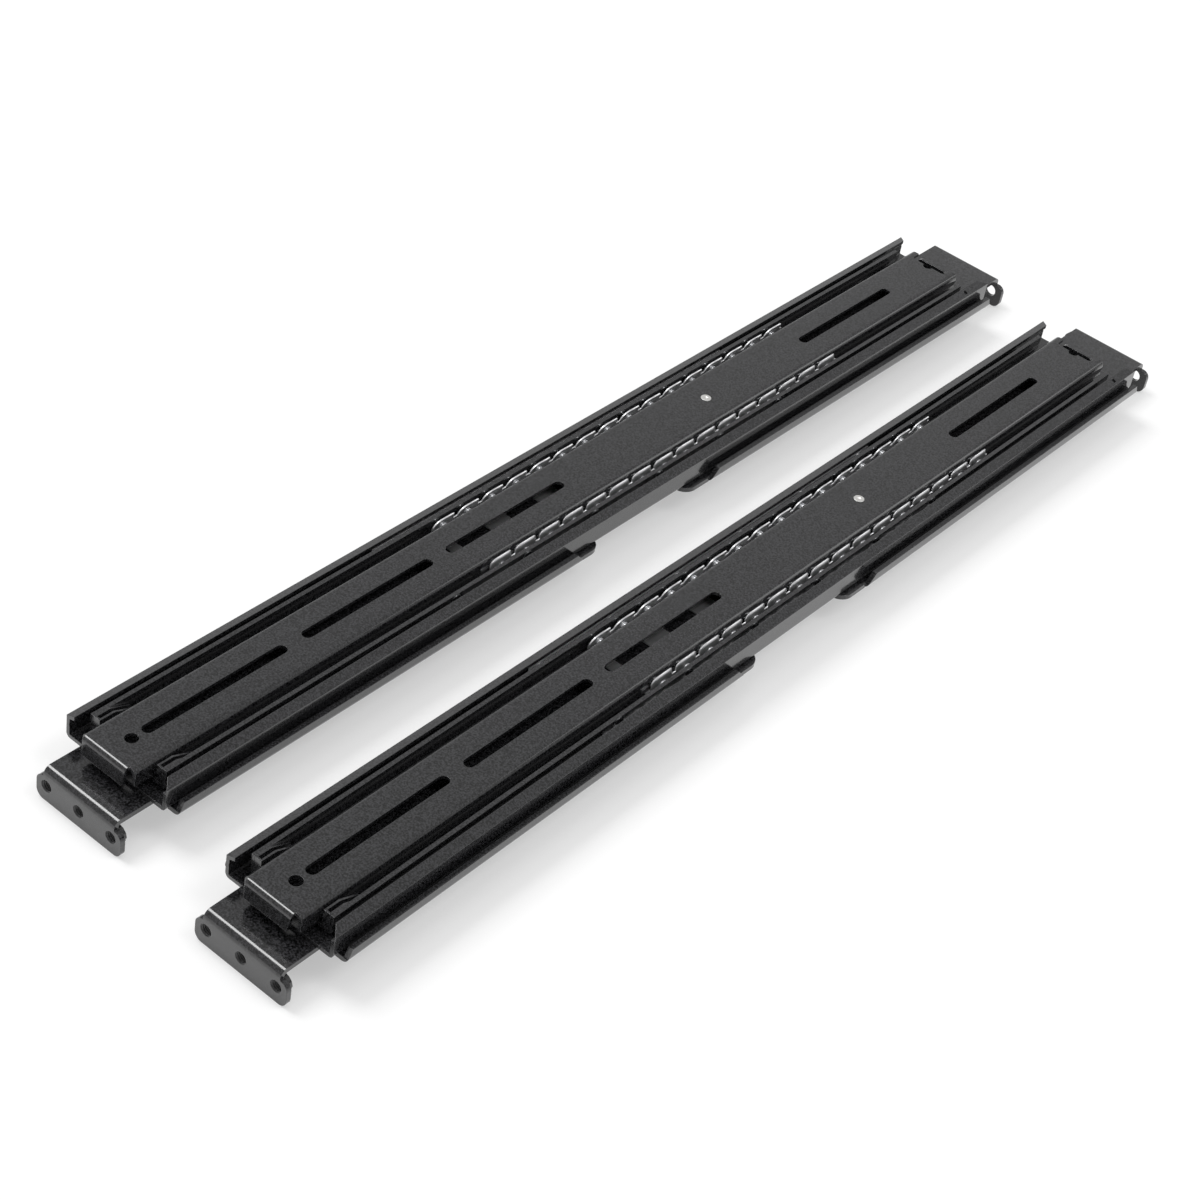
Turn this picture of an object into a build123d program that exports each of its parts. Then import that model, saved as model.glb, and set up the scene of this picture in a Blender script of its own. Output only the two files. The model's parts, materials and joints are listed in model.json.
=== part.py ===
from build123d import *
import os
from dataclasses import dataclass

# A pair of three-section ball-bearing slides for a 19 inch rack, lying side by side.
# Millimetres. X runs across the rails, Y along them with the front at -Y, and Z up.
# Every rail is drawn with its web flat, its front edge at y = 0 and its web underside at z = 0,
# and is then put in its place on the surface that the pair rests on.

# The pair
gap_between_rails = 26.5
right_rail_lead = 5.0

# Ball rows, and how deep their races are cut into the walls outside them
ball_radius = 2.38
race_radius = 2.42
race_depth = 0.17
inner_race_depth = 0.32
ball_pitch = 14.0
inner_row_z = 6.7
outer_row_z = 6.0
row_to_member = 2.05

# Outer member
outer_length = 500.0
outer_half_width = 24.4
outer_sheet = 1.5
outer_bend = 2.0
outer_wall_top = 9.6
outer_lip_width = 3.8
outer_lip_edge_z = 11.0
lip_corner_cut = 4.0
dimple_width = 1.8
dimple_from_rear = 16.0

# Intermediate member
running_gap = 0.25
middle_front = 5.3
middle_setback = 14.0
middle_sheet = 1.6
middle_bend = 2.0
middle_top = 10.9
stop_tab_half_width = 7.5
stop_tab_reach = 3.5
stop_tab_sheet = 1.5
stop_tab_corner = 2.0

# Inner member
inner_front = -3.0
inner_setback = 14.5
inner_sheet = 1.4
inner_bend = 2.5
inner_top = 12.0
ear_length = 5.5
ear_width = 4.15
ear_corner = 1.6
rear_notch_radius = 2.2
front_tab_left_inset = 1.85
front_tab_right_inset = 3.15
front_tab_taper = 1.3
front_tab_bottom = 3.75
front_tab_reach = 2.0
front_tab_bend = 1.9
front_hole_radius = 2.5
front_hole_y = 6.8
slot_width = 4.5
slot_length = 66.5
first_slot_y = 45.0
slot_pitch = 75.0
slot_places = (0, 1, 2, 5)

# Ball retainers
strip = 0.5
pocket_clearance = 0.12
inner_ball_count = 16
inner_first_ball_y = 176.5
inner_strip_top = 11.7
retainer_end = 6.5
notch_half_width = 0.5
notch_depth = 2.0
notch_lead = 3.9
window_length = 16.5
window_pitch = 28.0
window_inset = 5.9
outer_ball_count = 6
outer_ball_pitch = 40.0
outer_first_ball_y = 150.0
outer_strip_top = 8.9

# Front stops on the intermediate member
stop_length = 15.7
stop_clearance = 1.15
stop_wall = 0.75
stop_lift = 0.6
stop_floor = 1.6
stop_slope_length = 9.0
stop_slope_drop = 3.6

# Stop latch under the inner member
latch_y = 320.0
latch_sheet = 0.8
latch_half_width = 6.0
latch_play = 0.3
latch_pad = 4.0
latch_reach = 20.0
latch_slope = 2.6
tooth_length = 2.4
tooth_gap = 0.4
latch_rivet_radius = 2.2
latch_rivet_end = 1.2

# Round parts hidden under the rail are drawn with this many flats
hidden_sides = 12

# Rack brackets
bracket_sheet = 2.0
bracket_margin = 3.6
bracket_lip_height = 5.9
bracket_bend = 3.0
bracket_tab_inset = 1.5
bracket_tab_corner = 6.0
lip_front_slope = 1.7
lip_rear_slope = 4.0
flange_bottom = -14.4
ear_top = -3.7
flange_corner = 3.4
rack_hole_spacing = 15.875
rack_hole_z = -7.5
tapped_hole_radius = 2.5
tapped_boss_radius = 3.6
tapped_boss_length = 1.9
plain_hole_radius = 2.75
rear_flange_reach = 25.0

# Depth adjustment of the rear bracket
adjust_travel = 120.0
adjust_slot_radius = 2.2
adjust_gap = 0.1

# Studs and nuts that clamp the rear bracket
fit = 0.05
stud_setbacks = (60.0, 20.0)
stud_radius = 2.0
stud_end = 1.0
nut_radius = 4.0
nut_height = 3.2

# Widths worked out from the outer member inwards
outer_lip_edge_x = outer_half_width - outer_lip_width
outer_row_x = outer_half_width - outer_sheet + race_depth - race_radius
middle_half_width = outer_row_x - row_to_member
middle_inside_x = middle_half_width - middle_sheet
inner_row_x = middle_inside_x + inner_race_depth - race_radius
inner_half_width = inner_row_x - row_to_member
ear_inner_x = inner_half_width - ear_width
front_tab_left = front_tab_left_inset - inner_half_width
front_tab_right = inner_half_width - front_tab_right_inset
window_half_width = inner_row_x - window_inset
stop_inner_x = inner_half_width + stop_clearance
bracket_half_width = outer_half_width + bracket_margin
bracket_tab_half_width = bracket_half_width - bracket_tab_inset
rail_spacing = 2 * bracket_half_width + gap_between_rails

# Lengths worked out from the outer member
middle_rear = outer_length - middle_setback
stop_tab_front = middle_rear + stop_tab_reach
inner_rear = outer_length - inner_setback
stud_places = [outer_length - setback for setback in stud_setbacks]

# Heights worked out from the sheets and the running gap
outer_retainer_z = outer_sheet + running_gap
middle_z = outer_retainer_z + strip + running_gap
middle_web_top = middle_z + middle_sheet
inner_retainer_z = middle_web_top + running_gap
inner_retainer_top = inner_retainer_z + strip
inner_flange_z = inner_retainer_top + running_gap


@dataclass
class BracketShape:
    """Sizes of one rack bracket, measured along the rail from its flange face."""

    lip_start: float
    lip_end: float
    tab_end: float
    neck_half_width: float
    ear_half_width: float
    web_drop: float


front_shape = BracketShape(
    lip_start=19.1, lip_end=226.8, tab_end=239.8, neck_half_width=17.4, ear_half_width=20.8, web_drop=0.0
)
front_flange_y = -15.8
rear_shape = BracketShape(
    lip_start=24.5, lip_end=233.0, tab_end=248.3, neck_half_width=17.7, ear_half_width=22.0, web_drop=adjust_gap
)
rear_flange_y = outer_length + rear_flange_reach


def along(section, start, end):
    """Extrude a cross-section along the rail, from start to end."""
    return extrude(Plane.XZ.offset(-start) * section, amount=start - end)


def upwards(plan, low, high):
    """Extrude a plan outline from one height to another."""
    return extrude(Pos(0, 0, low) * plan, amount=high - low)


def across(profile, left, right):
    """Extrude a side profile, drawn with y along and z up, across the rail."""
    return extrude(Plane.YZ.offset(left) * profile, amount=right - left)


def rectangle(left, right, low, high):
    """A rectangle given by its four sides."""
    return Pos((left + right) / 2, (low + high) / 2) * Rectangle(right - left, high - low)


def both_sides(shape):
    """A shape and its mirror image on the other side of the rail's centre plane."""
    return shape + mirror(shape, about=Plane.YZ)


def channel(half_width, low, high, sheet, bend, open_top=True):
    """A rolled U section with an even wall and two rounded corners."""
    closed_side = 0 if open_top else -1
    base, rim = (low + sheet, high) if open_top else (low, high - sheet)
    outside = rectangle(-half_width, half_width, low, high)
    outside = fillet(outside.vertices().group_by(Axis.Y)[closed_side], bend)
    inside = rectangle(sheet - half_width, half_width - sheet, base, rim)
    inside = fillet(inside.vertices().group_by(Axis.Y)[closed_side], max(bend - sheet, fit))
    return outside - inside


def races(x, z):
    """The two race circles of one pair of ball rows."""
    return both_sides(Pos(x, z) * Circle(race_radius))


def row_places(first, count, pitch):
    """Evenly spaced places along the rail."""
    return [first + pitch * index for index in range(count)]


def outer_section():
    """The outer member: a flat web and two walls, each with a lip that leans in over the balls."""
    half = [
        (outer_lip_edge_x, outer_lip_edge_z),
        (outer_half_width, outer_wall_top),
        (outer_half_width, 0),
    ]
    outline = make_face(Polyline(*half, *[(-x, z) for x, z in reversed(half)], close=True))
    outline = fillet(outline.vertices().group_by(Axis.Y)[0], outer_bend)
    mouth = rectangle(-outer_lip_edge_x, outer_lip_edge_x, outer_sheet * 2, outer_lip_edge_z)
    return outline - offset(outline, amount=-outer_sheet) - mouth - races(outer_row_x, outer_row_z)


def lip_cut(y, direction):
    """A wedge that takes the corner off a lip end, towards +y or -y."""
    width = outer_half_width - outer_lip_edge_x
    corner = Polyline(
        (outer_lip_edge_x, y),
        (outer_lip_edge_x, y + direction * lip_corner_cut),
        (outer_lip_edge_x + width, y),
        close=True,
    )
    return upwards(make_face(corner), outer_wall_top - outer_sheet, outer_lip_edge_z)


def outer_member():
    """The fixed channel, which the two rack brackets are joined to."""
    body = along(outer_section(), 0, outer_length)
    body -= both_sides(lip_cut(outer_length, -1)) + lip_cut(0, 1)
    dimple_x = (outer_half_width + outer_lip_edge_x) / 2
    dimple_z = (outer_wall_top + outer_lip_edge_z) / 2
    dimple = Rot(0, 45, 0) * Box(dimple_width, dimple_width, dimple_width)
    return body - Pos(dimple_x, outer_length - dimple_from_rear, dimple_z) * dimple


def middle_member():
    """The intermediate channel, with its rear stop tab turned up out of the web."""
    section = channel(middle_half_width, middle_z, middle_top, middle_sheet, middle_bend)
    section -= races(inner_row_x, inner_row_z) + races(outer_row_x, outer_row_z)
    body = along(section, middle_front, middle_rear)
    stop_tab_rear = stop_tab_front + stop_tab_sheet
    tongue = rectangle(-stop_tab_half_width, stop_tab_half_width, middle_rear, stop_tab_rear)
    face = rectangle(-stop_tab_half_width, stop_tab_half_width, middle_z, middle_top)
    face = fillet(face.vertices().group_by(Axis.Y)[-1], stop_tab_corner)
    return body + upwards(tongue, middle_z, middle_web_top) + along(face, stop_tab_front, stop_tab_rear)


def inner_slots():
    """The front fixing hole, the rivet hole and the long fixing slots of the inner member, in plan."""
    plan = Pos(0, front_hole_y) * Circle(front_hole_radius) + Pos(0, latch_y) * Circle(latch_rivet_radius + fit)
    for place in slot_places:
        centre = first_slot_y + slot_pitch * place
        plan += Pos(0, centre) * Rot(0, 0, 90) * SlotOverall(slot_length, slot_width)
    return plan


def front_tab():
    """The end of the inner member's plate, bent down as a stop and finger edge."""
    front = inner_front - front_tab_reach
    plate_under = inner_top - inner_sheet
    outside = rectangle(front, inner_front, front_tab_bottom, inner_top)
    outside = fillet(outside.vertices().group_by(Axis.X)[0].group_by(Axis.Y)[-1], front_tab_bend)
    inside = rectangle(front + inner_sheet, inner_front, front_tab_bottom, plate_under)
    inside = fillet(inside.vertices().group_by(Axis.X)[0].group_by(Axis.Y)[-1], front_tab_bend - inner_sheet)
    bent = across(outside - inside, front_tab_left, front_tab_right)
    taper = Polyline(
        (front_tab_right, plate_under),
        (front_tab_right, front_tab_bottom),
        (front_tab_right - front_tab_taper, front_tab_bottom),
        close=True,
    )
    return bent - along(make_face(taper), front, inner_front)


def inner_member():
    """The moving channel that the equipment is screwed to, open downwards."""
    section = channel(inner_half_width, inner_flange_z, inner_top, inner_sheet, inner_bend, open_top=False)
    section -= races(inner_row_x, inner_row_z)
    ear_end = inner_rear + ear_length
    body = along(section, inner_front, ear_end)
    gap = rectangle(-ear_inner_x, ear_inner_x, inner_rear, ear_end)
    gap = fillet(gap.vertices().group_by(Axis.Y)[0], ear_corner)
    gap += Pos(0, inner_rear) * Circle(rear_notch_radius)
    plan = gap + inner_slots()
    body -= upwards(plan, inner_flange_z, inner_top)
    return body + front_tab()


def notch():
    """The notch between two tabs of a retainer strip, steep in front and sloping up to the tab behind."""
    outline = Polyline(
        (-notch_half_width, 0),
        (-notch_half_width, -notch_depth),
        (notch_half_width, -notch_depth),
        (notch_half_width + notch_lead, 0),
        close=True,
    )
    return make_face(outline)


def pocket():
    """The opening in a retainer strip that traps a ball, as a hexagon about it."""
    return RegularPolygon(ball_radius + pocket_clearance, 6, major_radius=False, rotation=30)


def strip_profile(balls, low, high):
    """The side view of one retainer strip, before its pockets are cut."""
    return rectangle(balls[0] - retainer_end, balls[-1] + retainer_end, low, high)


def folded_retainer(balls, profile, row_x, row_z, low):
    """A retainer folded up from one strip: two pocketed sides joined by a web that stays off the balls."""
    left = row_x - strip / 2
    right = row_x + strip / 2
    body = both_sides(across(profile, left, right)) + retainer_web(balls, left, low)
    pockets = Sketch() + [Pos(ball, row_z) * pocket() for ball in balls]
    return body - both_sides(across(pockets, row_x - ball_radius, right))


def retainer_web(balls, half_width, low):
    """The web that joins the two strips of a retainer, lightened by windows."""
    start = balls[0] - retainer_end
    end = balls[-1] + retainer_end
    windows = int((end - start - window_length) // window_pitch)
    first = (start + end - window_pitch * (windows - 1)) / 2
    window = Rectangle(2 * window_half_width, window_length)
    plan = rectangle(-half_width, half_width, start, end)
    plan -= [Pos(0, place) * window for place in row_places(first, windows, window_pitch)]
    return upwards(plan, low, low + strip)


def inner_retainer():
    """The notched retainer between the intermediate and the inner member."""
    balls = row_places(inner_first_ball_y, inner_ball_count, ball_pitch)
    profile = strip_profile(balls, inner_retainer_z, inner_strip_top)
    profile -= [Pos(ball + ball_pitch / 2, inner_strip_top) * notch() for ball in balls[:-1]]
    return folded_retainer(balls, profile, inner_row_x, inner_row_z, inner_retainer_z)


def outer_retainer():
    """The plain retainer between the outer and the intermediate member."""
    balls = row_places(outer_first_ball_y, outer_ball_count, outer_ball_pitch)
    profile = strip_profile(balls, outer_retainer_z, outer_strip_top)
    return folded_retainer(balls, profile, outer_row_x, outer_row_z, outer_retainer_z)


def ball():
    """A steel ball with twelve flat facets, cut from three square bars so that many stay light."""
    side = ball_radius * 2**0.5
    bar = Rot(0, 0, 45) * Box(side, side, 2 * ball_radius)
    return bar & Rot(90, 0, 0) * bar & Rot(0, 90, 0) * bar


def ball_rows(first, count, pitch, x, z):
    """Two rows of balls, one on each side of the rail."""
    one = ball()
    places = row_places(first, count, pitch)
    return Compound([Pos(side * x, place, z) * one for side in (-1, 1) for place in places])


def inner_balls():
    """The balls between the intermediate and the inner member."""
    return ball_rows(inner_first_ball_y, inner_ball_count, ball_pitch, inner_row_x, inner_row_z)


def outer_balls():
    """The balls between the outer and the intermediate member."""
    return ball_rows(outer_first_ball_y, outer_ball_count, outer_ball_pitch, outer_row_x, outer_row_z)


def front_stop():
    """One folded stop at the front of the intermediate member, with a sloping rear end."""
    rear = middle_front + stop_length
    low = middle_web_top + stop_lift
    side = Polyline(
        (middle_front, low),
        (rear, low),
        (rear, middle_top - stop_slope_drop),
        (rear - stop_slope_length, middle_top),
        (middle_front, middle_top),
        close=True,
    )
    block = across(make_face(side), stop_inner_x, middle_inside_x)
    pocket = rectangle(stop_inner_x + stop_wall, middle_inside_x - stop_wall, low + stop_floor, middle_top)
    block -= along(pocket, middle_front + stop_wall, rear)
    return block


def front_stops():
    """The two stops that the inner retainer meets at full travel."""
    one = front_stop()
    return Compound([one, mirror(one, about=Plane.YZ)])


def latch_height():
    """The top of the latch's pad, which hangs just under the plate."""
    return inner_top - inner_sheet - latch_play


def latch_rivet():
    """The rivet that carries the latch, flush with the plate's top."""
    low = latch_height() - latch_sheet - latch_rivet_end
    return upwards(Pos(0, latch_y) * Circle(latch_rivet_radius), low, inner_top)


def stop_latch():
    """The sprung leaf under the inner member, whose tooth holds it at full travel."""
    top = latch_height()
    under = top - latch_sheet
    bend = latch_y - latch_pad
    tip = bend - latch_reach
    tooth = inner_retainer_top + tooth_gap
    side = Polyline(
        (latch_y + latch_pad, top),
        (bend, top),
        (tip, top - latch_slope),
        (tip, tooth),
        (tip + tooth_length, tooth),
        (tip + tooth_length, under - latch_slope),
        (bend, under),
        (latch_y + latch_pad, under),
        close=True,
    )
    leaf = across(make_face(side), -latch_half_width, latch_half_width)
    hole = RegularPolygon(latch_rivet_radius + latch_play, hidden_sides, major_radius=False)
    return leaf - upwards(Pos(0, latch_y) * hole, under, top)


def bracket_channel(shape):
    """The U of a bracket, with its lips cut back at both ends."""
    top = bracket_lip_height - bracket_sheet
    section = channel(bracket_half_width, -bracket_sheet, top, bracket_sheet, bracket_bend)
    side = Polyline(
        (shape.lip_start, -bracket_sheet),
        (shape.lip_end, -bracket_sheet),
        (shape.lip_end, 0),
        (shape.lip_end - lip_rear_slope, top),
        (shape.lip_start + lip_front_slope, top),
        (shape.lip_start, 0),
        close=True,
    )
    trim = across(make_face(side), -bracket_half_width, bracket_half_width)
    return along(section, shape.lip_start, shape.lip_end) & trim


def bracket_flange(shape):
    """The neck, the bend and the eared flange that meets the rack post."""
    low = flange_bottom + shape.web_drop
    shoulder = ear_top + shape.web_drop
    outside = rectangle(0, shape.lip_start, shoulder, 0)
    outside = fillet(outside.vertices().group_by(Axis.X)[0].group_by(Axis.Y)[-1], bracket_bend)
    inside = rectangle(bracket_sheet, shape.lip_start, shoulder, -bracket_sheet)
    inside_corner = inside.vertices().group_by(Axis.X)[0].group_by(Axis.Y)[-1]
    inside = fillet(inside_corner, bracket_bend - bracket_sheet)
    neck = across(outside - inside, -shape.neck_half_width, shape.neck_half_width)
    plate = rectangle(-shape.ear_half_width, shape.ear_half_width, low, shoulder)
    plate = fillet(plate.vertices(), flange_corner)
    return neck + along(plate, 0, bracket_sheet)


def bracket(shape):
    """One bracket blank, with its flange face at y = 0 and its web running to +y."""
    tab = rectangle(-bracket_tab_half_width, bracket_tab_half_width, shape.lip_end, shape.tab_end)
    tab = fillet(tab.vertices().group_by(Axis.Y)[-1], bracket_tab_corner)
    return bracket_channel(shape) + upwards(tab, -bracket_sheet, 0) + bracket_flange(shape)


def flange_row(shape, outline, places, depth):
    """A row of bars through a bracket's flange, one outline at each of the rack's hole places."""
    height = rack_hole_z + shape.web_drop
    plan = Sketch() + [Pos(rack_hole_spacing * place, height) * outline for place in places]
    return along(plan, 0, depth)


def front_bracket():
    """The fixed front bracket, its flange extruded to the rear round three tapped holes."""
    depth = bracket_sheet + tapped_boss_length
    places = (-1, 0, 1)
    bosses = flange_row(front_shape, RegularPolygon(tapped_boss_radius, hidden_sides), places, depth)
    holes = flange_row(front_shape, Circle(tapped_hole_radius), places, depth)
    return Pos(0, front_flange_y) * (bracket(front_shape) + bosses - holes)


def rear_bracket():
    """The sliding rear bracket with plain flange holes and a long adjustment slot."""
    body = bracket(rear_shape) - flange_row(rear_shape, Circle(plain_hole_radius), (-1, 1), bracket_sheet)
    body = Pos(0, rear_flange_y, -rear_shape.web_drop) * Rot(0, 0, 180) * body
    slot_start = stud_places[0] - adjust_travel - adjust_slot_radius
    slot_end = stud_places[-1] + adjust_slot_radius
    slot = rectangle(-adjust_slot_radius, adjust_slot_radius, slot_start, slot_end)
    slot = chamfer(slot.vertices(), adjust_slot_radius / 2)
    return body - upwards(slot, -2 * bracket_sheet, 0)


def nut_top():
    """The height of the nuts' upper face, just clear of the sliding bracket."""
    return -bracket_sheet - 2 * adjust_gap


def rear_studs():
    """Studs welded under the outer member, which pass through the adjustment slot."""
    low = nut_top() - nut_height - stud_end
    stud = RegularPolygon(stud_radius, hidden_sides)
    return Compound([upwards(Pos(0, place) * stud, low, 0) for place in stud_places])


def rear_nuts():
    """Hexagon nuts on the studs."""
    ring = RegularPolygon(nut_radius, 6) - RegularPolygon(stud_radius + fit, hidden_sides)
    one = upwards(ring, nut_top() - nut_height, nut_top())
    return Compound([Pos(0, place) * one for place in stud_places])


pieces = {
    "outer_member": outer_member,
    "intermediate_member": middle_member,
    "inner_member": inner_member,
    "inner_retainer": inner_retainer,
    "inner_balls": inner_balls,
    "outer_retainer": outer_retainer,
    "outer_balls": outer_balls,
    "front_stops": front_stops,
    "stop_latch": stop_latch,
    "latch_rivet": latch_rivet,
    "front_bracket": front_bracket,
    "rear_bracket": rear_bracket,
    "rear_studs": rear_studs,
    "rear_nuts": rear_nuts,
}

# The pair stands centred on the origin, with the flanges' lower edges on the surface.
middle_y = (rear_flange_y + front_flange_y - right_rail_lead) / 2
rail_places = {
    "left": Pos(-rail_spacing / 2, -middle_y, -flange_bottom),
    "right": Pos(rail_spacing / 2, -middle_y - right_rail_lead, -flange_bottom),
}

os.makedirs("parts", exist_ok=True)
for name, make in pieces.items():
    shape = make()
    for rail, place in rail_places.items():
        export_step(place * shape, f"parts/{rail}_{name}.step")
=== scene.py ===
"""A pair of black ball-bearing server slides on a pale floor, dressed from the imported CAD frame.

The sheet-metal members and brackets are the CAD nodes with better finishes. The balls, the two
ball retainers, the latch rivet, the studs and the nuts of each rail are replaced by finer surfaces,
and the tapped flange holes get their threads. Lengths are in metres, and MM turns millimetres to metres.
"""

from __future__ import annotations

import json
import logging
import math
from dataclasses import dataclass, field
from enum import Enum

import bmesh
import bpy
import numpy as np
from mathutils import Matrix, Vector

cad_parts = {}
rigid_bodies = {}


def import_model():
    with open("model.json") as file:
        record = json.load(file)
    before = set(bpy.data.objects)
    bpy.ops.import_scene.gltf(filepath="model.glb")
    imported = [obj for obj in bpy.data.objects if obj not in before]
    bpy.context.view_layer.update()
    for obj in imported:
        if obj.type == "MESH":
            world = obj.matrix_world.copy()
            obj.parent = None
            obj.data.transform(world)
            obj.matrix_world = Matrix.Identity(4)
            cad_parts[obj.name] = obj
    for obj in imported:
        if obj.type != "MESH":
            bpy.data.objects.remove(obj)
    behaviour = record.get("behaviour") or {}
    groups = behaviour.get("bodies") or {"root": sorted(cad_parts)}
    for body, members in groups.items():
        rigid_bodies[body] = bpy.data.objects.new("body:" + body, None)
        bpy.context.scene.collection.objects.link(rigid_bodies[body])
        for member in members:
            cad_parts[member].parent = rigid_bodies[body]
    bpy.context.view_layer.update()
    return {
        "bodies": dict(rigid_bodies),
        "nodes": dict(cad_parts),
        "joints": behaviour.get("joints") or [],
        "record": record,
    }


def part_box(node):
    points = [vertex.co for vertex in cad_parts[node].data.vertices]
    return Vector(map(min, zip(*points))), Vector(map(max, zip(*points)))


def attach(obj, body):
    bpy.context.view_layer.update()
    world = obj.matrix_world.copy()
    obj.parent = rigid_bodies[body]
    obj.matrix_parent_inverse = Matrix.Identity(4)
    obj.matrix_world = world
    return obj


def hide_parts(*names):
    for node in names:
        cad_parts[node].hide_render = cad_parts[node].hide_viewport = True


LOG = logging.getLogger("server_rails")
MM = 0.001
TURN = 2 * math.pi
RIGHT_ANGLE = math.pi / 2

# Nearly all of a noise texture lies between these two values.
NOISE_LOW, NOISE_HIGH = 0.3, 0.7
BEVEL_SAMPLES = 4

# Points closer than a seam are one point, and an edge shorter than a sliver goes.
SEAM = 0.001 * MM
SLIVER = 0.0001 * MM


class Rail(Enum):
    """The two rails of the pair, as the CAD nodes name them."""

    LEFT = "left"
    RIGHT = "right"


class Row(Enum):
    """The two ball rows on each side of a rail, as the CAD nodes name them."""

    INNER = "inner"
    OUTER = "outer"


def linear(hex_colour: str) -> tuple[float, float, float, float]:
    """Turns an sRGB hex colour into linear light.

    Args:
        hex_colour: six hex digits, such as "2a2a2b".

    Returns:
        Red, green, blue and an alpha of 1.
    """
    parts = [int(hex_colour[at : at + 2], 16) / 255 for at in (0, 2, 4)]
    lit = [part / 12.92 if part <= 0.04045 else ((part + 0.055) / 1.055) ** 2.4 for part in parts]
    return (*lit, 1.0)


def add(
    tree: bpy.types.NodeTree, kind: str, inputs: dict | None = None, **settings: object
) -> bpy.types.Node:
    """Adds a node with its settings, and sets or links its inputs.

    Args:
        tree: the node tree that gets the node.
        kind: the node's type name.
        inputs: input names or indices, each with a value or with the output socket to link.
        settings: properties of the node.

    Returns:
        The new node.
    """
    node = tree.nodes.new(kind)
    for name, value in settings.items():
        setattr(node, name, value)
    for name, value in (inputs or {}).items():
        if isinstance(value, bpy.types.NodeSocket):
            tree.links.new(value, node.inputs[name])
        else:
            node.inputs[name].default_value = value
    return node


def fresh_material(name: str) -> tuple[bpy.types.Material, bpy.types.NodeTree]:
    """Makes an empty material.

    Args:
        name: the material's name.

    Returns:
        The material and its cleared node tree.
    """
    material = bpy.data.materials.new(name)
    material.use_nodes = True
    material.node_tree.nodes.clear()
    return material, material.node_tree


@dataclass(frozen=True)
class BlackCoat:
    """Black powder coat, baked on cold-rolled steel.

    Powder flows together in the oven, so the film is even and semi-gloss with a faint orange peel. The cut
    edges are painted paler: partly because the film thins over them, and partly as a painted highlight along
    them. The peel is about 3 mm from crest to crest, and the fine tooth of the film, really about 0.4 mm, is
    drawn 0.7 mm coarse so that it shows. An edge starts to pale where the cosine between the flat and the
    rounded normal falls to pale_from.
    """

    colour: str = "040404"
    mottle: str = "323234"
    # Paler colour of the cut edges: partly the thinner coat there, and partly a painted highlight along the
    # edges.
    edge: str = "3c3c3e"
    roughness: float = 0.16
    roughness_spread: float = 0.04
    gloss: float = 0.5
    gloss_roughness: float = 0.1
    peel: float = 3.0 * MM
    peel_height: float = 0.012 * MM
    tooth: float = 0.7 * MM
    tooth_height: float = 0.01 * MM
    blotch: float = 30 * MM
    edge_radius: float = 0.28 * MM
    grain_low: float = 0.36
    grain_high: float = 0.64
    pale_from: float = 0.995
    palest_at: float = 0.8

    def build(self) -> bpy.types.Material:
        """Builds the node tree of the coat.

        Returns:
            The finished material.
        """
        material, tree = fresh_material("black_powder_coat")
        place = add(tree, "ShaderNodeTexCoord").outputs["Object"]
        blotch = add(tree, "ShaderNodeTexNoise", {"Vector": place, "Scale": 1 / self.blotch, "Detail": 3.0})
        peel = add(tree, "ShaderNodeTexNoise", {"Vector": place, "Scale": 1 / self.peel, "Detail": 1.0})
        tooth = add(tree, "ShaderNodeTexNoise", {"Vector": place, "Scale": 1 / self.tooth, "Detail": 2.0})
        rounded = add(tree, "ShaderNodeBevel", {"Radius": self.edge_radius}, samples=BEVEL_SAMPLES)
        flat = add(tree, "ShaderNodeNewGeometry")
        along = add(
            tree,
            "ShaderNodeVectorMath",
            {0: rounded.outputs["Normal"], 1: flat.outputs["Normal"]},
            operation="DOT_PRODUCT",
        )
        # Mask of the rounded edges that get the paler colour: partly thinner coat, and partly a painted edge
        # highlight.
        edge = add(
            tree,
            "ShaderNodeMapRange",
            {
                "Value": along.outputs["Value"],
                "From Min": self.pale_from,
                "From Max": self.palest_at,
                "To Max": 1.0,
            },
        )
        grains = add(
            tree,
            "ShaderNodeMapRange",
            {"Value": tooth.outputs["Fac"], "From Min": self.grain_low, "From Max": self.grain_high},
        )
        mottled = add(
            tree,
            "ShaderNodeMix",
            {"Factor": grains.outputs["Result"], 6: linear(self.colour), 7: linear(self.mottle)},
            data_type="RGBA",
        )
        # Lays on the paler edge colour: partly the coat thinning over the edges, and partly a painted edge
        # highlight.
        edge_wear_and_highlight = add(
            tree,
            "ShaderNodeMix",
            {"Factor": edge.outputs["Result"], 6: mottled.outputs[2], 7: linear(self.edge)},
            data_type="RGBA",
        )
        gloss = add(
            tree,
            "ShaderNodeMapRange",
            {
                "Value": blotch.outputs["Fac"],
                "From Min": NOISE_LOW,
                "From Max": NOISE_HIGH,
                "To Min": self.roughness - self.roughness_spread,
                "To Max": self.roughness + self.roughness_spread,
            },
        )
        coarse = add(
            tree,
            "ShaderNodeBump",
            {
                "Height": peel.outputs["Fac"],
                "Distance": self.peel_height,
                "Normal": rounded.outputs["Normal"],
            },
        )
        fine = add(
            tree,
            "ShaderNodeBump",
            {
                "Height": tooth.outputs["Fac"],
                "Distance": self.tooth_height,
                "Normal": coarse.outputs["Normal"],
            },
        )
        shader = add(
            tree,
            "ShaderNodeBsdfPrincipled",
            {
                "Base Color": edge_wear_and_highlight.outputs[2],
                "Roughness": gloss.outputs["Result"],
                "Normal": fine.outputs["Normal"],
                "Coat Weight": self.gloss,
                "Coat Roughness": self.gloss_roughness,
                "Coat Normal": coarse.outputs["Normal"],
            },
        )
        add(tree, "ShaderNodeOutputMaterial", {"Surface": shader.outputs["BSDF"]})
        return material


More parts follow.
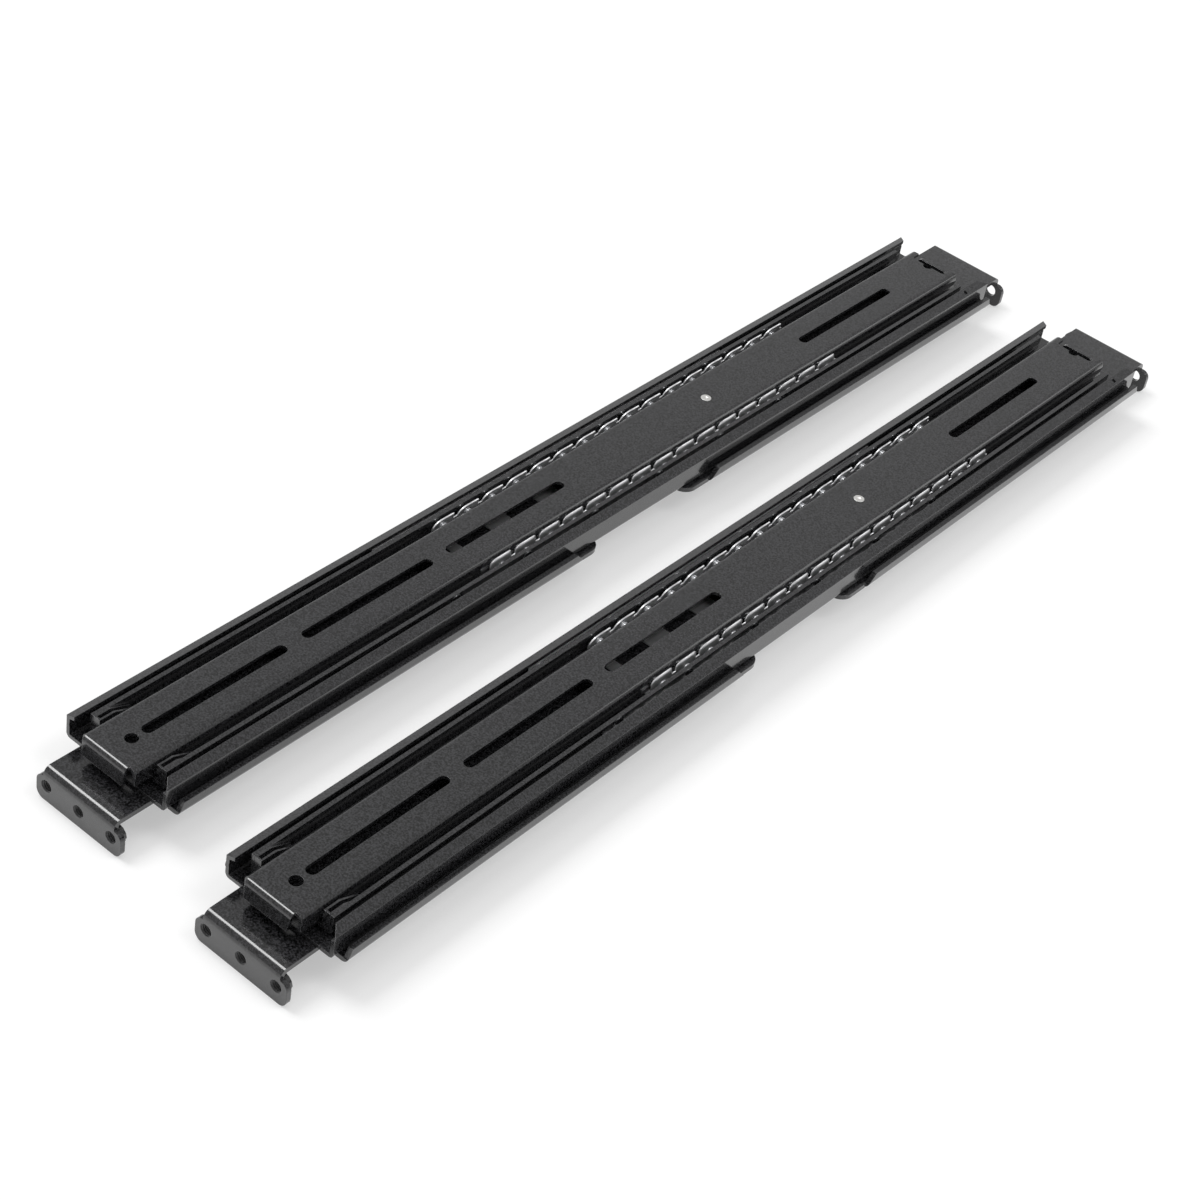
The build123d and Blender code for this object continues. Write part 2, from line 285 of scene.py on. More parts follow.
@dataclass(frozen=True)
class PlatedSteel:
    """Bright steel, either zinc-plated sheet, a ground bearing ball or a nickel-plated rivet.

    A plated sheet keeps faint rolling streaks along the strip under the plate, about 0.6 mm apart, and
    the clear film over its zinc scatters a little light, so it is not quite all metal. A ground ball is
    a near mirror, and a rivet's struck head is a little duller and paler.
    """

    name: str
    colour: str
    shade: str
    roughness: float
    roughness_spread: float = 0.06
    metal: float = 1.0
    streak: float = 0.6 * MM
    streak_length: float = 12 * MM
    streak_height: float = 0.002 * MM
    edge_radius: float = 0.12 * MM

    def build(self) -> bpy.types.Material:
        """Builds the node tree of the metal.

        Returns:
            The finished material.
        """
        material, tree = fresh_material(self.name)
        place = add(tree, "ShaderNodeTexCoord").outputs["Object"]
        stretched = add(
            tree,
            "ShaderNodeMapping",
            {"Vector": place, "Scale": (1 / self.streak, 1 / self.streak_length, 1 / self.streak)},
        )
        streaks = add(
            tree, "ShaderNodeTexNoise", {"Vector": stretched.outputs["Vector"], "Scale": 1.0, "Detail": 2.0}
        )
        colour = add(
            tree,
            "ShaderNodeMix",
            {"Factor": streaks.outputs["Fac"], 6: linear(self.shade), 7: linear(self.colour)},
            data_type="RGBA",
        )
        gloss = add(
            tree,
            "ShaderNodeMapRange",
            {
                "Value": streaks.outputs["Fac"],
                "From Min": NOISE_LOW,
                "From Max": NOISE_HIGH,
                "To Min": self.roughness,
                "To Max": self.roughness + self.roughness_spread,
            },
        )
        rounded = add(tree, "ShaderNodeBevel", {"Radius": self.edge_radius}, samples=BEVEL_SAMPLES)
        rolled = add(
            tree,
            "ShaderNodeBump",
            {
                "Height": streaks.outputs["Fac"],
                "Distance": self.streak_height,
                "Normal": rounded.outputs["Normal"],
            },
        )
        shader = add(
            tree,
            "ShaderNodeBsdfPrincipled",
            {
                "Base Color": colour.outputs[2],
                "Metallic": self.metal,
                "Roughness": gloss.outputs["Result"],
                "Normal": rolled.outputs["Normal"],
            },
        )
        add(tree, "ShaderNodeOutputMaterial", {"Surface": shader.outputs["BSDF"]})
        return material


@dataclass
class Finishes:
    """Every finish of the pair, built once and shared."""

    coat: bpy.types.Material = field(default_factory=lambda: BlackCoat().build())
    zinc: bpy.types.Material = field(
        default_factory=lambda: PlatedSteel("zinc_plated_sheet", "f6f6f7", "dedfe1", 0.34, metal=0.9).build()
    )
    ball: bpy.types.Material = field(
        default_factory=lambda: PlatedSteel("ground_bearing_steel", "dcdddf", "cfd0d3", 0.1, 0.03).build()
    )
    rivet: bpy.types.Material = field(
        default_factory=lambda: PlatedSteel("nickel_plated_rivet", "f4f3f0", "e4e3e0", 0.38).build()
    )


def new_piece(
    name: str,
    points: np.ndarray,
    faces: np.ndarray,
    material: bpy.types.Material,
    body: str,
    thickness: float = 0.0,
) -> bpy.types.Object:
    """Makes a mesh object from arrays, with its seams merged and its faces pointing out.

    Args:
        name: the piece's name.
        points: vertices, one row each, in metres in the row frame.
        faces: quads as vertex numbers, one row each.
        material: its finish.
        body: the CAD body that it rides on.
        thickness: a wall thickness for an open sheet, or 0 for a closed skin.

    Returns:
        The new object, riding on its body.
    """
    mesh = bpy.data.meshes.new(name)
    mesh.from_pydata(points.reshape(-1, 3), [], faces.reshape(-1, 4))
    work = bmesh.new()
    work.from_mesh(mesh)
    bmesh.ops.remove_doubles(work, verts=work.verts, dist=SEAM)
    bmesh.ops.dissolve_degenerate(work, edges=work.edges, dist=SLIVER)
    bmesh.ops.recalc_face_normals(work, faces=work.faces)
    work.to_mesh(mesh)
    work.free()
    mesh.materials.append(material)
    piece = bpy.data.objects.new(name, mesh)
    bpy.context.scene.collection.objects.link(piece)
    if thickness:
        wall = piece.modifiers.new("sheet_thickness", "SOLIDIFY")
        wall.thickness = thickness
        wall.offset = 0.0
    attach(piece, body)
    return piece


def grid_faces(rows: int, columns: int, wrap_rows: bool = False, wrap_columns: bool = False) -> np.ndarray:
    """Numbers the quads of a grid of points.

    Args:
        rows: points along the first parameter.
        columns: points along the second parameter.
        wrap_rows: whether the last row joins the first.
        wrap_columns: whether the last column joins the first.

    Returns:
        An array of quads, one row of four vertex numbers each.
    """
    starts = np.arange(rows if wrap_rows else rows - 1)
    ends = np.arange(columns if wrap_columns else columns - 1)
    first, second = np.meshgrid(starts, ends, indexing="ij")
    next_first = (first + 1) % rows
    next_second = (second + 1) % columns
    corners = (
        first * columns + second,
        next_first * columns + second,
        next_first * columns + next_second,
        first * columns + next_second,
    )
    return np.stack(corners, axis=-1).reshape(-1, 4)


def repeated(points: np.ndarray, faces: np.ndarray, centres: np.ndarray) -> tuple[np.ndarray, np.ndarray]:
    """Copies one mesh to many places.

    Args:
        points: the vertices of one copy.
        faces: its quads.
        centres: one place per row.

    Returns:
        The vertices and quads of all the copies.
    """
    points = points.reshape(-1, 3)
    every = (centres[:, None, :] + points[None]).reshape(-1, 3)
    steps = np.arange(len(centres))[:, None, None] * len(points)
    return every, (faces[None] + steps).reshape(-1, 4)


@dataclass
class CadDresser:
    """Gives the CAD nodes their finishes, and smooths their rolled bends and round holes."""

    finishes: Finishes
    smooth_below: float = math.radians(30)
    weld: float = 0.002 * MM

    def smoothing(self) -> bpy.types.NodeTree:
        """Builds the modifier that welds the loose triangles and shades flat angles smooth.

        Returns:
            A geometry node group: weld by distance, smooth faces, edges over the limit kept sharp.
        """
        tree = bpy.data.node_groups.new("rolled_bends", "GeometryNodeTree")
        tree.interface.new_socket("Geometry", in_out="INPUT", socket_type="NodeSocketGeometry")
        tree.interface.new_socket("Geometry", in_out="OUTPUT", socket_type="NodeSocketGeometry")
        entry = add(tree, "NodeGroupInput")
        welded = add(
            tree, "GeometryNodeMergeByDistance", {"Geometry": entry.outputs[0], "Distance": self.weld}
        )
        smooth = add(tree, "GeometryNodeSetShadeSmooth", {"Geometry": welded.outputs[0]}, domain="FACE")
        angle = add(tree, "GeometryNodeInputMeshEdgeAngle")
        sharp = add(
            tree,
            "FunctionNodeCompare",
            {0: angle.outputs["Unsigned Angle"], 1: self.smooth_below},
            data_type="FLOAT",
            operation="GREATER_THAN",
        )
        creased = add(
            tree,
            "GeometryNodeSetShadeSmooth",
            {"Geometry": smooth.outputs[0], "Selection": sharp.outputs[0], "Shade Smooth": False},
            domain="EDGE",
        )
        add(tree, "NodeGroupOutput", {0: creased.outputs[0]})
        return tree

    def dress(self, frame: dict) -> None:
        """Gives each CAD node its finish and the smoothing modifier.

        Args:
            frame: the frame as loaded.
        """
        finish = {"black_paint": self.finishes.coat, "zinc_plate": self.finishes.zinc}
        group = self.smoothing()
        slots = {part["node"]: part["material_slot"] for part in frame["record"]["subparts"]}
        for name, node in frame["nodes"].items():
            material = finish.get(slots[name], self.finishes.ball)
            for place in node.material_slots:
                place.material = material
            smoother = node.modifiers.new("rolled_bends", "NODES")
            smoother.node_group = group
            LOG.info("dressed %s in %s", name, material.name)


@dataclass
class BallRow:
    """Ground steel balls in the two rows of one side of a rail, in place of the faceted CAD ones."""

    rail: Rail
    row: Row
    material: bpy.types.Material
    count: int
    meridians: int = 20
    parallels: int = 11

    @property
    def node(self) -> str:
        """The CAD node that the balls stand for."""
        return f"{self.rail.value}_{self.row.value}_balls"

    def places(self) -> tuple[np.ndarray, float]:
        """Works out the ball centres from the CAD node's box.

        Returns:
            One centre per row, and the balls' radius.
        """
        low, high = (np.array(corner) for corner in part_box(self.node))
        radius = (high[2] - low[2]) / 2
        sides = np.array([low[0] + radius, high[0] - radius])
        along = np.linspace(low[1] + radius, high[1] - radius, self.count)
        across, lengthwise = np.meshgrid(sides, along, indexing="ij")
        heights = np.full(across.size, low[2] + radius)
        return np.stack([across.ravel(), lengthwise.ravel(), heights], axis=-1), radius

    def build(self) -> bpy.types.Object:
        """Builds the spheres: longitude and latitude give a point one radius from each centre.

        Returns:
            The balls as one object.
        """
        centres, radius = self.places()
        around = np.linspace(0, TURN, self.meridians, endpoint=False)
        upward = np.linspace(-RIGHT_ANGLE, RIGHT_ANGLE, self.parallels)
        longitude, latitude = np.meshgrid(around, upward, indexing="ij")
        level = np.cos(latitude)
        ball = radius * np.stack(
            [np.cos(longitude) * level, np.sin(longitude) * level, np.sin(latitude)], axis=-1
        )
        faces = grid_faces(self.meridians, self.parallels, wrap_rows=True)
        points, faces = repeated(ball, faces, centres)
        body = f"{self.rail.value}_{self.row.value}_cage"
        piece = new_piece(f"{self.node}_ground", points, faces, self.material, body)
        piece.data.shade_smooth()
        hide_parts(self.node)
        LOG.info("%s: %d balls of radius %.2f mm", self.node, len(centres), radius / MM)
        return piece


@dataclass
class BallRetainer:
    """A retainer stamped from one strip, with round pockets, formed lips, tabs and a windowed web.

    It is drawn flat and then folded. The flat pattern has u across from the rail's centre line and y
    along it. The fold keeps u up to the bend, turns it through a quarter circle and runs it upwards.
    """

    rail: Rail
    row: Row
    material: bpy.types.Material
    balls: BallRow
    sheet: float = 0.5 * MM
    bend: float = 0.75 * MM
    pocket_play: float = 0.2 * MM
    lip_height: float = 0.2 * MM
    lip_reach: float = 0.35
    notch_depth: float = 2.9 * MM
    notch_gap: float = 0.5 * MM
    rear_gap: float = 1.8 * MM
    tab_lead: float = 3.9 * MM
    tab_corner: float = 0.8 * MM
    crown: float = 0.6 * MM
    crown_start: float = 0.55
    web_share: float = 0.78
    window_inset: float = 5.9 * MM
    window_length: float = 16.5 * MM
    window_pitch: float = 28.0 * MM
    steps: int = 12
    corner_steps: int = 7
    level_steps: int = 8
    rise_steps: int = 6
    rings: tuple[float, ...] = (0.0, 0.12, 0.25, 0.45, 0.55, 0.66, 0.77, 0.88, 1.0)

    @property
    def node(self) -> str:
        """The CAD node that the retainer stands for."""
        return f"{self.rail.value}_{self.row.value}_retainer"

    def __post_init__(self) -> None:
        """Reads the retainer's extents from its CAD node and its balls."""
        low, high = (np.array(corner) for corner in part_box(self.node))
        self.centre_x = (low[0] + high[0]) / 2
        self.wall_x = (high[0] - low[0]) / 2 - self.sheet / 2
        self.web_z = low[2] + self.sheet / 2
        self.top_z = high[2]
        self.front, self.rear = low[1], high[1]
        centres, self.ball_radius = self.balls.places()
        self.ball_y = np.unique(centres[:, 1].round(7))
        self.ball_z = centres[0, 2]
        self.pitch = self.ball_y[1] - self.ball_y[0]
        self.flat_end = self.wall_x - self.bend
        self.bend_end = self.flat_end + self.bend * RIGHT_ANGLE
        self.top_u = self.bend_end + self.top_z - self.web_z - self.bend

    def fold(
        self, across: np.ndarray, lengthwise: np.ndarray, raised: np.ndarray | float = 0.0
    ) -> np.ndarray:
        """Folds points of the flat pattern up into the channel.

        Args:
            across: u, with a sign for the side.
            lengthwise: y.
            raised: how far a point stands off the sheet's middle, outwards.

        Returns:
            Points in the row frame.
        """
        size = np.abs(across)
        angle = np.clip((size - self.flat_end) / self.bend, 0, RIGHT_ANGLE)
        out = np.minimum(size, self.flat_end) + self.bend * np.sin(angle) + raised * np.sin(angle)
        up = self.web_z + self.bend * (1 - np.cos(angle)) + np.maximum(size - self.bend_end, 0)
        up = up - raised * np.cos(angle)
        return np.stack([self.centre_x + np.sign(across) * out, lengthwise, up], axis=-1)

    def cell_outline(self) -> tuple[np.ndarray, np.ndarray]:
        """Draws the edge of one ball's stretch of strip, anticlockwise from its front lower corner.

        Returns:
            y from the ball's centre, and u. The lower edge is straight and lies in the web. The upper
            edge is the tab: it rises from the notch in front through a quarter ellipse, runs level, and
            drops through a small corner and a straight edge into the notch behind.
        """
        half = self.pitch / 2
        low = self.flat_end * self.web_share
        bottom = np.linspace(-half, half, self.steps + 1)
        if self.row is Row.OUTER:
            top = bottom[::-1]
            drop = np.zeros_like(top)
        else:
            quarter = np.linspace(0, RIGHT_ANGLE, self.corner_steps)
            rear = half - self.rear_gap - self.tab_corner + self.tab_corner * np.cos(quarter)
            rear_drop = self.tab_corner * (1 - np.sin(quarter))
            lead_end = self.notch_gap + self.tab_lead - half
            level = np.linspace(rear[-1], lead_end, self.level_steps)[1:-1]
            lead = lead_end - self.tab_lead * np.sin(quarter)
            lead_drop = self.notch_depth * (1 - np.cos(quarter))
            floor = [self.notch_depth]
            top = np.concatenate([[half], [half - self.rear_gap], rear, level, lead, [-half]])
            drop = np.concatenate([floor, floor, rear_drop, level * 0, lead_drop, floor])
        rise = np.linspace(low, self.top_u - drop[0], self.rise_steps)[1:-1]
        lengthwise = np.concatenate([bottom, rise * 0 + half, top, rise * 0 - half])
        across = np.concatenate([bottom * 0 + low, rise, self.top_u - drop, rise[::-1]])
        return lengthwise, across

    def strips(self) -> tuple[np.ndarray, np.ndarray]:
        """Builds the pocketed strips of both sides.

        Each ball has a ring of points that goes from its pocket, an ellipse in the flat pattern since the
        hole runs round the bend, to the edge of its stretch of strip. Near the pocket the sheet stands out
        as a lip that falls off with the square of the distance. The top of a tab is crowned: there the
        sheet follows a quarter circle inwards, less the lower the edge lies in a notch.

        Returns:
            Points and quads.
        """
        edge_y, edge_u = self.cell_outline()
        radius = self.ball_radius + self.pocket_play
        reach = math.sqrt(max(radius**2 - (self.ball_z - self.web_z) ** 2, 0.0))
        top_u = self.bend_end + self.ball_z - self.web_z - self.bend + radius
        low_u = self.wall_x - reach - self.sheet / 2 if self.row is Row.INNER else top_u - 2 * radius
        middle, half_u = (top_u + low_u) / 2, (top_u - low_u) / 2
        angle = np.arctan2((edge_u - middle) / half_u, edge_y / radius)
        share = np.array(self.rings)[:, None]
        ring_y = share * edge_y + (1 - share) * radius * np.cos(angle)
        ring_u = share * edge_u + (1 - share) * (middle + half_u * np.sin(angle))
        raised = self.lip_height * np.clip(1 - share / self.lip_reach, 0, 1) ** 2 + 0 * ring_u
        if self.row is Row.INNER:
            tall = np.sqrt(np.clip(1 - (self.top_u - edge_u) / self.notch_depth, 0, 1))
            turned = np.clip((share - self.crown_start) / (1 - self.crown_start), 0, 1) * RIGHT_ANGLE
            raised = raised - tall * self.crown * (1 - np.cos(turned))
            ring_u = ring_u + tall * self.crown * (np.sin(turned) - turned / RIGHT_ANGLE)
        along = np.clip(self.ball_y[:, None, None] + ring_y, self.front, self.rear)
        across = np.broadcast_to(ring_u, along.shape)
        lifted = np.broadcast_to(raised, along.shape)
        one = grid_faces(len(self.rings), len(edge_y), wrap_columns=True)
        cells = [self.fold(side * across, along, lifted) for side in (-1, 1)]
        points = np.concatenate(cells).reshape(-1, 3)
        count = len(points) // (len(self.rings) * len(edge_y))
        steps = np.arange(count)[:, None, None] * len(self.rings) * len(edge_y)
        return points, (one[None] + steps).reshape(-1, 4)

    def web(self) -> tuple[np.ndarray, np.ndarray]:
        """Builds the flat web: a grid whose middle column is left open where a window is.

        Returns:
            Points and quads.
        """
        low = self.flat_end * self.web_share
        window = self.wall_x - self.window_inset
        across = np.array([-low, -window, window, low])
        steps = np.linspace(-0.5, 0.5, self.steps + 1)[:-1] * self.pitch
        along = np.append((self.ball_y[:, None] + steps).ravel(), self.ball_y[-1] + self.pitch / 2)
        along = np.clip(along, self.front, self.rear)
        points = self.fold(*np.meshgrid(across, along, indexing="ij"))
        faces = grid_faces(len(across), len(along))
        middle = (self.front + self.rear) / 2
        windows = round((self.rear - self.front) / self.window_pitch)
        offset = self.window_pitch / 2 if windows % 2 == 0 else 0.0
        row = np.tile((along[1:] + along[:-1]) / 2, len(across) - 1)
        column = np.repeat(np.arange(len(across) - 1), len(along) - 1)
        half_pitch = self.window_pitch / 2
        from_window = np.abs((row - middle + offset + half_pitch) % self.window_pitch - half_pitch)
        inside = np.abs(row - middle) < windows * half_pitch
        opened = (column == 1) & (from_window < self.window_length / 2) & inside
        return points.reshape(-1, 3), faces[~opened]

    def build(self) -> bpy.types.Object:
        """Joins the strips and the web, and gives them the sheet's thickness.

        Returns:
            The retainer as one object.
        """
        strip_points, strip_faces = self.strips()
        web_points, web_faces = self.web()
        points = np.concatenate([strip_points, web_points])
        faces = np.concatenate([strip_faces, web_faces + len(strip_points)])
        body = f"{self.rail.value}_{self.row.value}_cage"
        piece = new_piece(
            f"{self.node}_stamped", points, faces, self.material, body, thickness=self.sheet
        )
        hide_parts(self.node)
        LOG.info("%s: %d faces before its thickness", self.node, len(piece.data.polygons))
        return piece


@dataclass
class ScrewThread:
    """A helical ridge on a cylinder: its depth falls and rises once for each pitch along the axis.

    The radius at an angle and a distance along the axis is the major radius less the depth times a
    triangle wave of the distance over the pitch plus the angle over a full turn. Both ends run out.
    """

    major: float
    pitch: float
    depth: float
    run_out: float = 0.35 * MM
    around: int = 40
    per_pitch: int = 8

    def surface(self, length: float, inward: bool) -> tuple[np.ndarray, np.ndarray]:
        """Works out the thread's radius over a grid.

        Args:
            length: how long the threaded stretch is.
            inward: whether the ridges stand inwards from the major radius, as in a tapped hole.

        Returns:
            The distances along the axis, and the points as radius and angle, all on the same grid.
        """
        angle = np.linspace(0, TURN, self.around, endpoint=False)
        along = np.linspace(0, length, int(length / self.pitch * self.per_pitch) + 1)
        angles, distances = np.meshgrid(angle, along, indexing="ij")
        phase = (distances / self.pitch + angles / TURN) % 1.0
        wave = 1 - np.abs(2 * phase - 1)
        ends = np.clip(np.minimum(distances, length - distances) / self.run_out, 0, 1)
        cut = wave * ends if inward else 1 - (1 - wave) * ends
        return distances, np.stack([self.major - self.depth * cut, angles], axis=-1)


@dataclass
class TappedHoles:
    """The threads in the three tapped holes of a front flange."""

    rail: Rail
    material: bpy.types.Material
    spacing: float = 15.875 * MM
    below_web: float = 7.5 * MM
    depth: float = 3.9 * MM
    clearance: float = 0.004 * MM
    thread: ScrewThread = field(default_factory=lambda: ScrewThread(2.5 * MM, 0.8 * MM, 0.42 * MM))

    def build(self) -> bpy.types.Object:
        """Builds a closed ring per hole: the thread inside, and a plain skin against the hole's wall.

        Returns:
            The threads of one flange as one object.
        """
        low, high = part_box(f"{self.rail.value}_front_bracket")
        web_low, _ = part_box(f"{self.rail.value}_outer_member")
        distances, polar = self.thread.surface(self.depth, inward=True)
        skin = self.thread.major - self.clearance
        radius = np.minimum(polar[..., 0], skin)
        back = np.full_like(radius, skin)[:, ::-1]
        radii = np.concatenate([radius, back[:, 1:-1]], axis=1)
        along = np.concatenate([distances, distances[:, ::-1][:, 1:-1]], axis=1)
        angles = np.broadcast_to(polar[:, :1, 1], radii.shape)
        ring = np.stack([radii * np.cos(angles), along, radii * np.sin(angles)], axis=-1)
        faces = grid_faces(*radii.shape, wrap_rows=True, wrap_columns=True)
        middle = (low.x + high.x) / 2
        centres = np.array(
            [(middle + place * self.spacing, low.y, web_low.z - self.below_web) for place in (-1, 0, 1)]
        )
        points, faces = repeated(ring, faces, centres)
        piece = new_piece(
            f"{self.rail.value}_flange_threads", points, faces, self.material, "fixed_members"
        )
        piece.data.shade_smooth()
        LOG.info("%s: threads in three flange holes", self.rail.value)
        return piece


@dataclass
class ClampHardware:
    """The studs and nuts under the rear of a rail, in place of the plain CAD ones."""

    rail: Rail
    material: bpy.types.Material
    pitch: float = 0.7 * MM
    thread_depth: float = 0.36 * MM
    chamfer_share: float = 0.97
    chamfer_slope: float = math.tan(math.radians(30))
    bore_play: float = 0.03 * MM
    around: int = 48

    def centres(self, node: str) -> tuple[np.ndarray, float, float]:
        """Finds where the two fasteners of a CAD node stand.

        Args:
            node: the node's name.

        Returns:
            One foot per row at the node's lowest point, their half width along y, and their height.
        """
        low, high = (np.array(corner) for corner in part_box(node))
        half = (high[0] - low[0]) / 2
        middle = (high[0] + low[0]) / 2
        return (
            np.array([(middle, low[1] + half, low[2]), (middle, high[1] - half, low[2])]),
            half,
            high[2] - low[2],
        )

    def studs(self) -> bpy.types.Object:
        """Builds the threaded studs: the thread's surface, closed at both ends on the axis.

        Returns:
            The two studs as one object.
        """
        node = f"{self.rail.value}_rear_studs"
        feet, radius, height = self.centres(node)
        thread = ScrewThread(radius, self.pitch, self.thread_depth)
        distances, polar = thread.surface(height, inward=False)
        radii = np.pad(polar[..., 0], ((0, 0), (1, 1)))
        along = np.pad(distances, ((0, 0), (1, 1)), mode="edge")
        angles = np.broadcast_to(polar[:, :1, 1], radii.shape)
        stud = np.stack([radii * np.cos(angles), radii * np.sin(angles), along], axis=-1)
        points, faces = repeated(stud, grid_faces(*radii.shape, wrap_rows=True), feet)
        piece = new_piece(f"{node}_threaded", points, faces, self.material, "fixed_members")
        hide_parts(node)
        LOG.info("%s: two threaded studs", self.rail.value)
        return piece

    def nuts(self) -> bpy.types.Object:
        """Builds the hexagon nuts: a bore, two faces, and sides cut by a 30 degree cone at each end.

        The side's radius at an angle is the apothem over the cosine of the angle from the nearest flat's
        middle. A cone takes off what stands past the face circle, so the arcs on the sides form by
        themselves.

        Returns:
            The two nuts as one object.
        """
        node = f"{self.rail.value}_rear_nuts"
        low, high = (np.array(corner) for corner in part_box(node))
        corner = (high[0] - low[0]) / 2
        apothem = corner * math.cos(math.pi / 6)
        stud_feet, stud_radius, _ = self.centres(f"{self.rail.value}_rear_studs")
        height = high[2] - low[2]
        angle = np.linspace(0, TURN, self.around, endpoint=False)
        side = apothem / np.cos((angle % (TURN / 6)) - TURN / 12)
        face = np.full_like(side, apothem * self.chamfer_share)
        bore = np.full_like(side, stud_radius + self.bore_play)
        drop = (side - face) * self.chamfer_slope
        radii = np.stack([bore, face, side, side, face, bore], axis=-1)
        under, over = 0 * side, 0 * side + height
        level = np.stack([under, under, drop, height - drop, over, over], axis=-1)
        angles = np.broadcast_to(angle[:, None], radii.shape)
        nut = np.stack([radii * np.cos(angles), radii * np.sin(angles), level], axis=-1)
        feet = stud_feet.copy()
        feet[:, 2] = low[2]
        points, faces = repeated(nut, grid_faces(*radii.shape, wrap_rows=True, wrap_columns=True), feet)
        piece = new_piece(f"{node}_chamfered", points, faces, self.material, "fixed_members")
        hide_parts(node)
        LOG.info("%s: two chamfered nuts", self.rail.value)
        return piece


@dataclass
class LatchRivet:
    """The bright rivet that holds the stop latch, its struck head flush with the plate."""

    rail: Rail
    material: bpy.types.Material
    rim_round: float = 0.15 * MM
    dimple_radius: float = 0.85 * MM
    dimple_depth: float = 0.3 * MM
    rim_steps: int = 6
    dish_steps: int = 7
    around: int = 48

    def build(self) -> bpy.types.Object:
        """Builds the rivet by turning its half section about its own axis.

        Returns:
            The rivet as one object.
        """
        node = f"{self.rail.value}_latch_rivet"
        low, high = (np.array(corner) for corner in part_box(node))
        radius = (high[0] - low[0]) / 2
        height = high[2] - low[2]
        quarter = np.linspace(0, RIGHT_ANGLE, self.rim_steps)
        rim_r = radius - self.rim_round * (1 - np.cos(quarter))
        rim_z = height - self.rim_round * (1 - np.sin(quarter))
        dish_share = np.linspace(1, 0, self.dish_steps)
        dish_r = self.dimple_radius * dish_share
        dish_z = height - self.dimple_depth * np.cos(dish_share * RIGHT_ANGLE)
        section_r = np.concatenate([[0.0, radius], rim_r, dish_r])
        section_z = np.concatenate([[0.0, 0.0], rim_z, dish_z])
        angle = np.linspace(0, TURN, self.around, endpoint=False)
        angles, radii = np.meshgrid(angle, section_r, indexing="ij")
        levels = np.broadcast_to(section_z, radii.shape)
        turned = np.stack([radii * np.cos(angles), radii * np.sin(angles), levels], axis=-1)
        foot = np.array([[(low[0] + high[0]) / 2, (low[1] + high[1]) / 2, low[2]]])
        points, faces = repeated(turned, grid_faces(*radii.shape, wrap_rows=True), foot)
        body = f"{self.rail.value}_inner"
        piece = new_piece(f"{node}_struck", points, faces, self.material, body)
        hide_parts(node)
        LOG.info("%s: struck rivet head", self.rail.value)
        return piece


@dataclass(frozen=True)
class Lamp:
    """A soft square lamp that points at the middle of the pair."""

    name: str
    azimuth: float
    elevation: float
    distance: float
    size: float
    watts: float

    def build(self) -> None:
        """Hangs the lamp at its azimuth and elevation. Azimuth 0 is in front, and 90 to the right."""
        data = bpy.data.lights.new(self.name, "AREA")
        data.shape = "SQUARE"
        data.size = self.size
        data.energy = self.watts
        lamp = bpy.data.objects.new(self.name, data)
        bpy.context.scene.collection.objects.link(lamp)
        azimuth, elevation = math.radians(self.azimuth), math.radians(self.elevation)
        away = Vector(
            (
                math.sin(azimuth) * math.cos(elevation),
                -math.cos(azimuth) * math.cos(elevation),
                math.sin(elevation),
            )
        )
        turned = away.to_track_quat("Z", "Y").to_matrix().to_4x4()
        lamp.matrix_world = Matrix.Translation(away * self.distance) @ turned


